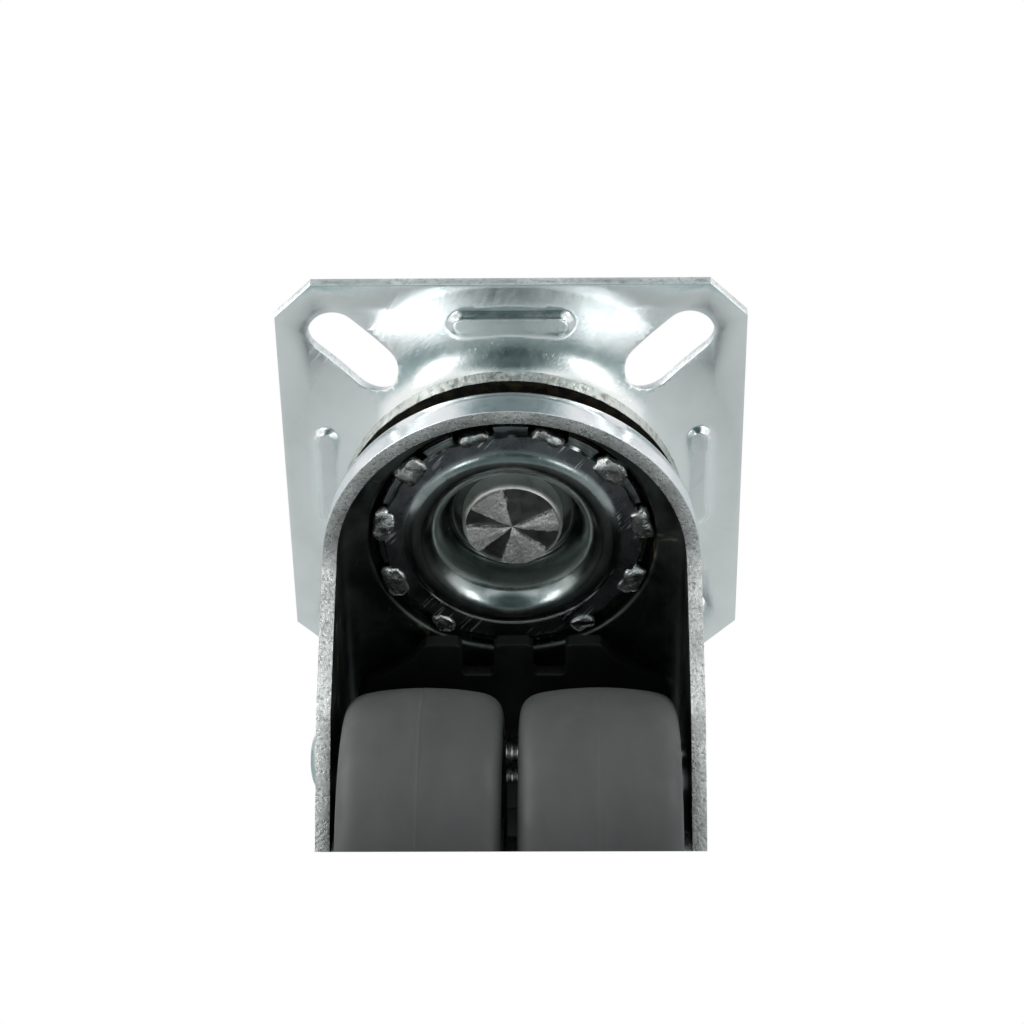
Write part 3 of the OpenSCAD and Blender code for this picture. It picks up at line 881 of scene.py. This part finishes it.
# ---------------------------------------------------------------- fork
def leg_edge():
    """Outline of a leg in (y, z) from the skirt round the axle boss to the back of the crown."""
    boss = (AXLE.y, AXLE.z)
    boss_r = 8.6
    edge = [(6.45, -38.93)] + arc((14.6, -36.9), 8.4, 197, 205, 3)
    edge += arc(boss, boss_r, -135, 5, 30)
    edge += [(LEG_BACK_Y, BRAKE_PIN.z - 3.5)]
    edge += arc((CROWN_BACK_Y, SHOULDER_Z - BEND_R - LEG_CORNER), LEG_CORNER, 0, 90, 8)
    return edge


def make_fork():
    """Folded sheet, from its inner surface: bend and skirt, stepped crown, then the two legs.
    The path runs from one leg's back round the front to the other's. Each point has its outward
    direction's x, the y it starts from, and that direction's y."""
    around, side, levels = 96, 14, 8
    path = [(1.0, CROWN_BACK_Y * (1 - i / side), 0.0) for i in range(side)]
    for i in range(around + 1):
        x, s = polar(1.0, -math.pi * i / around)
        path.append((x, 0.0, s))
    path += [(-1.0, CROWN_BACK_Y * i / side, 0.0) for i in range(1, side + 1)]

    def at(k, off):
        x, y, s = path[k]
        return (x * off, y + s * off)

    def skirt_low(k):
        """Lower edge of the skirt, rounded off where it meets a leg."""
        y = path[k][2] * LEG_IN
        blend = 3.4
        if y > -blend:
            return SKIRT_Z - blend * (1 - math.sqrt(max(1 - ((y + blend) / blend) ** 2, 0)))
        return SKIRT_Z

    verts, faces = [], []

    def add(points, some_faces):
        first = len(verts)
        verts.extend(points)
        faces.extend(tuple(first + i for i in f) for f in some_faces)

    def strip(rows, close=False):
        add([p for row in rows for p in row], grid_faces(len(rows), len(rows[0]), False, close))

    bend_low = SHOULDER_Z - BEND_R
    bend = arc((STEP_R, bend_low), BEND_R, 90, 0, 10)
    strip([[(*at(k, off), z) for k in range(len(path))] for off, z in bend])

    def level_z(k, j):
        return bend_low + (skirt_low(k) - bend_low) * j / levels

    front = range(side, side + around + 1)
    strip([[(*at(k, LEG_IN), level_z(k, j)) for k in front] for j in range(levels + 1)])

    upper_r, lower_r = 1.2, 0.6
    crown = [(CROWN_HOLE_R + 0.25 * i, CROWN_Z) for i in range(27)]
    crown += arc((RECESS_R - upper_r, CROWN_Z - upper_r), upper_r, 90, 0, 8)
    crown += [(RECESS_R, SHOULDER_Z + lower_r)]
    crown += arc((RECESS_R + lower_r, SHOULDER_Z + lower_r), lower_r, 195, 270, 5)
    rows = lathe_points(crown, ROUND_STEPS)
    strip(rows, True)
    outer = [at(k, STEP_R) for k in range(len(path))]
    points, flat = fill_plane(outer, [[(p[0], p[1]) for p in rows[-1]]])
    add([(p[0], p[1], SHOULDER_Z) for p in points], flat)

    joint = [(0.0, level_z(side, j)) for j in range(levels + 1)]
    top = [(CROWN_BACK_Y * (1 - i / side), bend_low) for i in range(1, side)]
    axle_hole = circle((AXLE.y, AXLE.z), AXLE_R, 40)
    pin_hole = circle((BRAKE_PIN.y, BRAKE_PIN.z), BRAKE_PIN_R, 32)
    points, flat = fill_plane(joint + leg_edge() + top, [axle_hole, pin_hole])
    for s in (-1, 1):
        add([(s * LEG_IN, p[0], p[1]) for p in points], flat)

    fork = new_object("fork_sheet", verts, faces, [fork_zinc, fork_edge, fork_inside_shade, dark_grease])
    weld(fork)
    fix_normals(fork)
    face_towards(fork, lambda c, n: -n.z - n.x * c.x / 10)
    add_sheet(fork, FORK_T, 1)
    add_bevel(fork, 0.16, 2)
    bake(fork)
    press_grooves(fork)
    # inward and downward faces take painted shade, the near-black inside material; the crown round
    # the cup takes grease
    shaded_inside, in_grease = 2, 3
    for poly in fork.data.polygons:
        c, n = poly.center / MM, poly.normal
        if poly.material_index:
            continue
        r = math.hypot(c.x, c.y)
        outward = n.x * (1 if c.x > 0 else -1) if c.y > 0 else (n.x * c.x + n.y * c.y) / r
        if c.z > CROWN_GREASE_Z and r < STEP_R + 0.3:
            poly.material_index = in_grease
        elif n.z < -0.3 or outward < -0.3:
            poly.material_index = shaded_inside
    return fork


def press_grooves(fork):
    """Presses both ball rows' grooves into the crown."""
    row_r, row_z, ball_r = UPPER_ROW
    low_r, low_z, low_ball = LOWER_ROW
    for v in fork.data.vertices:
        r, z = math.hypot(v.co.x, v.co.y) / MM, v.co.z / MM
        if z > CROWN_Z + 1 and abs(r - row_r) < ball_r:
            v.co.z = min(z, row_z - math.sqrt(ball_r ** 2 - (r - row_r) ** 2)) * MM
        elif CROWN_Z - 0.2 < z < CROWN_Z + 0.3 and abs(r - low_r) < low_ball:
            v.co.z = max(z, low_z + math.sqrt(low_ball ** 2 - (r - low_r) ** 2)) * MM


# ---------------------------------------------------------------- tyres
def make_tyre(x, name):
    """Crowned tread with a mould line in the middle, from its drop at each distance from there."""
    half = WHEEL_W / 2
    drops = ((0.0, 1.0), (0.07, 2.5), (0.20, 4.2), (0.42, 6.0), (0.74, 7.6), (1.22, 8.65),
             (1.95, 9.35), (2.80, 9.7), (3.80, half - 0.03))
    tread = [(TYRE_R + 0.03, 0.06), (TYRE_R, 0.14), (TYRE_R, 0.5)]
    tread += curve([(TYRE_R - drop, u) for drop, u in drops], 4)
    tread += [(CORE_R + 0.85, half), (CORE_R, half - 2)]
    profile = [(r, -u) for r, u in reversed(tread)] + tread
    tyre = lathe(name, profile, [tyre_grey], 220, sharp=50)
    lay_across(tyre, (x, AXLE.y, AXLE.z))
    return tyre


# ---------------------------------------------------------------- brake
def slab(name, outline, low, high, axis, edge):
    """A flat black outline given thickness from low to high along an axis, edges rounded."""
    points, faces = fill_plane(outline)
    obj = new_object(name, [(p[0], p[1], 0) for p in points], faces, [brake_black])
    fix_normals(obj)
    face_towards(obj, lambda c, n: -n.z)
    add_sheet(obj, high - low)
    add_bevel(obj, edge)
    bake(obj)
    if axis == "X":
        swing = Matrix(((0, 0, 1, 0), (1, 0, 0, 0), (0, 1, 0, 0), (0, 0, 0, 1)))
        obj.data.transform(swing)
        obj.data.transform(Matrix.Translation((low * MM, 0, 0)))
    else:
        obj.data.transform(Matrix.Translation((0, 0, low * MM)))
    return obj


def comb_outline():
    """Three prongs in front, then sloped shoulders out to the lever's full width."""
    prong, pitch, w = 5.1 / 2, 9.3, LEVER_HALF
    root = COMB_Y + 5.2
    r = 0.5
    half = [(prong - r, COMB_Y), (prong, COMB_Y + r), (prong, root - r), (prong + r, root),
            (pitch - prong - r, root), (pitch - prong, root - r), (pitch - prong, COMB_Y + r),
            (pitch - prong + r, COMB_Y), (pitch + prong - r, COMB_Y), (pitch + prong, COMB_Y + r),
            (pitch + prong + 1.2, COMB_Y + 2.6), (w - 1.6, COMB_Y + 6.6), (w, COMB_Y + 9),
            (w, BRAKE_PIN.y)]
    return half + [(-x, y) for x, y in reversed(half)]


def make_lever():
    """Comb, sloped arm and broad pedal of the brake in one piece."""
    comb = slab("comb", comb_outline(), COMB_Z - COMB_T, COMB_Z, "Z", 0.3)
    slope, start, end, thick = -0.26, BRAKE_PIN.y + 6, 57.0, 3.4
    top = COMB_Z + 0.5
    arm_front, arm_back = BRAKE_PIN.y - 2.9, PEDAL_WIDE_Y + 1

    def upper(y):
        return top + (y - start) * slope

    arm_side = [(arm_front, COMB_Z - COMB_T), (start, top - thick),
                (arm_back, upper(arm_back) - thick), (arm_back, upper(arm_back)),
                (start, top), (arm_front, top)]
    arm = slab("arm", arm_side, -LEVER_HALF, LEVER_HALF, "X", 0.5)
    w, front, back, grid = PEDAL_HALF, 2.0, 7.0, 0.8
    far = end + thick / 2
    plan = arc((w - front, PEDAL_WIDE_Y + front), front, -90, 0, 6)
    plan += arc((w - back, far - back), back, 0, 90, 12)
    plan += [(-x, y) for x, y in reversed(plan)]
    rows = [(i * grid - w, PEDAL_WIDE_Y + grid / 2 + j * grid)
            for i in range(61) for j in range(22)]
    points, faces = fill_plane(plan, (), [p for p in rows if inside(p, plan)])
    pedal = new_object("pedal", [(p[0], p[1], 0) for p in points], faces, [brake_black])
    fix_normals(pedal)
    face_towards(pedal, lambda c, n: n.z)
    add_sheet(pedal, thick)
    add_bevel(pedal, 1.2, 5)
    bake(pedal)
    for v in pedal.data.vertices:
        x, y = v.co.x / MM, v.co.y / MM
        along = clamp((y - PEDAL_WIDE_Y) / (far - PEDAL_WIDE_Y))
        dip = 0.5 * math.cos(min(abs(x) / w, 1) * math.pi / 2) * math.sin(along * math.pi)
        v.co.z += (upper(y) - (dip if v.co.z > -thick * MM / 2 else 0)) * MM
    return join([comb, arm, pedal], "brake_lever_body")


def make_hub_tube():
    """Tube of the lever around the pin, in two halves beside the spring."""
    bore, gap = BRAKE_PIN_R + 0.05, 2.4
    profile = [(bore, gap), (3.35, gap), (3.5, gap + 0.15), (3.5, LEVER_HALF - 0.2),
               (3.3, LEVER_HALF), (bore, LEVER_HALF)]
    halves = []
    for s in (-1, 1):
        tube = lathe("hub_half", [(r, s * z) for r, z in profile], [brake_black], 64)
        lay_across(tube, BRAKE_PIN)
        halves.append(tube)
    return join(halves, "lever_hub")


def make_brake_pin():
    """Rivet across the fork: domed head on the left, peened end on the right."""
    left, right = -rivet_low.x, rivet_high.x
    neck, fullness = FORK_R + 1.0, 0.75
    head = [(0, left)]
    for a in range(6, 91, 6):
        out, r = math.cos(math.radians(a)), math.sin(math.radians(a)) ** fullness
        head.append((RIVET_HEAD_R * r, neck + (left - neck) * out))
    head += [(RIVET_HEAD_R, FORK_R + 0.2), (RIVET_HEAD_R - 0.2, FORK_R), (BRAKE_PIN_R, FORK_R)]
    tail = [(BRAKE_PIN_R, -FORK_R), (2.9, -FORK_R), (3.0, -FORK_R - 0.3), (2.5, -right),
            (0, -right)]
    pin = lathe("brake_rivet", head + tail, [bolt_zinc], 96, ring=False)
    lay_across(pin, BRAKE_PIN, -1)
    return pin


# ---------------------------------------------------------------- put the pieces on the frame
def place(obj, body, slot, *replaced):
    """Puts a piece on its body, in place of CAD nodes."""
    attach(obj, body)
    if replaced:
        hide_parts(*replaced)


place(make_plate(), "plate_body", "zinc_plate", "top_plate")
place(make_race(), "plate_body", "race_steel", "upper_race")
place(make_kingpin(), "plate_body", "pin_steel", "kingpin")
place(make_cup(), "plate_body", "cup_steel", "lower_race_cup")
place(make_stakes(), "plate_body", "cup_steel")
place(make_lock_ring(), "plate_body", "cup_steel", "lock_ring")
place(make_fork(), "fork_body", "fork_zinc", "fork")
place(make_tyre(WHEEL_X, "left_tyre_tread"), "left_wheel", "tyre_rubber", "left_tyre")
place(make_tyre(-WHEEL_X, "right_tyre_tread"), "right_wheel", "tyre_rubber", "right_tyre")
place(make_lever(), "brake", "brake_black", "brake_lever")
place(make_hub_tube(), "brake", "brake_black")
place(make_brake_pin(), "fork_body", "bolt_steel", "brake_pin")

# CAD nodes that keep their shape
CARRIED = {
    "upper_balls": ball_steel, "lower_balls": ball_steel, "axle_bolt": bolt_zinc,
    "axle_nut": bolt_zinc, "axle_sleeve": bolt_zinc, "centre_spacer": core_grey,
    "thrust_washers": bolt_zinc, "brake_spring": spring_steel, "left_core": core_grey,
    "right_core": core_grey, "left_bushing": bush_white, "right_bushing": bush_white,
    "brake_shoe": brake_black, "pedal_pad": brake_black,
}
for node_name, material in CARRIED.items():
    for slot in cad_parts[node_name].material_slots:
        slot.material = material

# ---------------------------------------------------------------- floor, light and camera
scene = bpy.context.scene


def floor_material(name, from_below):
    """Pale floor seen from above, and the given shader from below, where the low camera is."""
    n = Nodes(name)
    n.set(Base_Color=(0.80, 0.80, 0.80), Roughness=0.6)
    n.bump(n.noise(3, 3), 0.1, 0.05)
    below = n.tree.nodes.new(from_below)
    mix = n.tree.nodes.new("ShaderNodeMixShader")
    geometry = n.tree.nodes.new("ShaderNodeNewGeometry")
    n.link(geometry.outputs["Backfacing"], mix.inputs[0])
    n.link(n.bsdf.outputs[0], mix.inputs[1])
    n.link(below.outputs[0], mix.inputs[2])
    n.link(mix.outputs[0], n.tree.nodes["Material Output"].inputs["Surface"])
    return n.mat


def make_floor():
    """Floor in two parts, left out by the soft lights. From below, the back one ends the view of
    the wheels at its edge; the front one is clear from below and shows only to the camera."""
    edge, size, level = -3.0, 1500, tyre_low.z - 0.05
    floors = bpy.data.collections.new("floors")
    parts = (("shelf", edge, size, "ShaderNodeEmission"),
             ("shelf_front", -size, edge, "ShaderNodeBsdfTransparent"))
    for name, near, far, from_below in parts:
        corners = [(-size, near, level), (size, near, level),
                   (size, far, level), (-size, far, level)]
        floor = new_object(name, corners, [(0, 1, 2, 3)], [floor_material(name, from_below)])
        if near < edge:
            floor.visible_diffuse = floor.visible_glossy = False
            floor.visible_transmission = floor.visible_shadow = False
        floors.objects.link(floor)
    for member in floors.collection_objects:
        member.light_linking.link_state = "EXCLUDE"
    return floors


def make_world():
    """White surroundings, seen in the metal with dark patches: the camera, the room in front of
    the object and the space above it. The camera itself sees plain white."""
    world = bpy.data.worlds.new("studio")
    scene.world = world
    world.use_nodes = True
    tree = world.node_tree
    background = tree.nodes["Background"]
    coords = tree.nodes.new("ShaderNodeTexCoord")
    level = None
    # direction, radius of the core and of the fade in degrees, brightness
    patches = (
        ((0.0, -0.62, -0.79), 12, 30, 0.10),
        ((0.0, -0.10, -1.0), 10, 33, 0.22),
        ((0.50, 0.10, -0.87), 6, 20, 0.45),
        ((-0.50, 0.10, -0.87), 6, 20, 0.45),
        ((0.0, -0.62, 0.79), 10, 24, 0.20),
        ((0.0, -0.88, -0.47), 6, 20, 0.35),
        ((0.0, -1.0, 0.0), 5, 14, 0.40),
        ((0.68, -0.68, 0.28), 10, 30, 0.55),
        ((-0.68, -0.68, 0.28), 10, 30, 0.55),
        ((0.64, 0.64, 0.42), 10, 38, 0.45),
        ((-0.64, 0.64, 0.42), 10, 38, 0.45),
        ((0.90, 0.0, 0.42), 8, 24, 0.6),
        ((-0.90, 0.0, 0.42), 8, 24, 0.6),
        ((0.70, -0.66, -0.25), 6, 20, 0.6),
        ((-0.70, -0.66, -0.25), 6, 20, 0.6),
    )
    for direction, core, reach, dark in patches:
        dot = tree.nodes.new("ShaderNodeVectorMath")
        dot.operation = "DOT_PRODUCT"
        dot.inputs[1].default_value = Vector(direction).normalized()
        tree.links.new(coords.outputs["Generated"], dot.inputs[0])
        fade = tree.nodes.new("ShaderNodeMapRange")
        fade.interpolation_type = "SMOOTHSTEP"
        fade.inputs["From Min"].default_value = math.cos(math.radians(reach))
        fade.inputs["From Max"].default_value = math.cos(math.radians(core))
        fade.inputs["To Min"].default_value = 1.0
        fade.inputs["To Max"].default_value = dark
        tree.links.new(dot.outputs["Value"], fade.inputs["Value"])
        if level is None:
            level = fade.outputs[0]
            continue
        product = tree.nodes.new("ShaderNodeMath")
        product.operation = "MULTIPLY"
        tree.links.new(level, product.inputs[0])
        tree.links.new(fade.outputs[0], product.inputs[1])
        level = product.outputs[0]
    path = tree.nodes.new("ShaderNodeLightPath")
    clear = tree.nodes.new("ShaderNodeMath")
    clear.operation = "MAXIMUM"
    tree.links.new(path.outputs["Is Camera Ray"], clear.inputs[0])
    tree.links.new(level, clear.inputs[1])
    tint = tree.nodes.new("ShaderNodeValToRGB")
    stops = ((0.0, (0.0, 0.012, 0.014)), (0.45, (0.36, 0.46, 0.47)), (1.0, (1.0, 1.0, 1.0)))
    for position, colour in stops:
        tint.color_ramp.elements.new(position).color = (*colour, 1)
    tint.color_ramp.elements.remove(tint.color_ramp.elements[0])
    tint.color_ramp.elements.remove(tint.color_ramp.elements[-1])
    tree.links.new(clear.outputs[0], tint.inputs[0])
    tree.links.new(tint.outputs[0], background.inputs["Color"])
    background.inputs["Strength"].default_value = 1.0


def soft_light(name, location, size, power):
    """Area light aimed at the bearing, which lights all but the floor."""
    target = Vector((0, 0, -0.02))
    data = bpy.data.lights.new(name, "AREA")
    data.shape = "RECTANGLE"
    data.size, data.size_y = size
    data.energy = power
    light = bpy.data.objects.new(name, data)
    scene.collection.objects.link(light)
    light.location = location
    light.visible_camera = False
    light.light_linking.receiver_collection = floors
    aim = target - Vector(location)
    light.rotation_euler = aim.to_track_quat("-Z", "Y").to_euler()


def make_camera():
    """Camera in front of the object and below it, looking up past the wheels."""
    azimuth, elevation, roll = math.radians(1.67), math.radians(-51.97), math.radians(1.084)
    distance, aside, down = 0.394257, -0.000206, -0.005878
    back = Vector((math.sin(azimuth) * math.cos(elevation),
                   -math.cos(azimuth) * math.cos(elevation), math.sin(elevation)))
    level = (-back).cross(Vector((0, 0, 1))).normalized()
    rise = level.cross(-back)
    right = math.cos(roll) * level + math.sin(roll) * rise
    up = -math.sin(roll) * level + math.cos(roll) * rise
    data = bpy.data.cameras.new("camera")
    data.lens = 104.77
    data.sensor_width = 36
    data.clip_start = 0.01
    camera = bpy.data.objects.new("camera", data)
    scene.collection.objects.link(camera)
    turn = Matrix((right, up, back)).transposed().to_4x4()
    stand = back * distance + right * aside + up * down
    camera.matrix_world = Matrix.Translation(stand) @ turn
    scene.camera = camera


floors = make_floor()
make_world()
soft_light("left_box", (-0.5, -0.25, 0.15), (0.5, 0.42), 2.5)
soft_light("right_box", (0.5, -0.3, 0.14), (0.4, 0.4), 1.3)
soft_light("low_left_box", (-0.38, -0.24, -0.57), (0.13, 0.26), 0.36)
soft_light("low_right_box", (0.38, -0.24, -0.57), (0.13, 0.26), 0.36)
make_camera()
scene.view_settings.view_transform = "Standard"
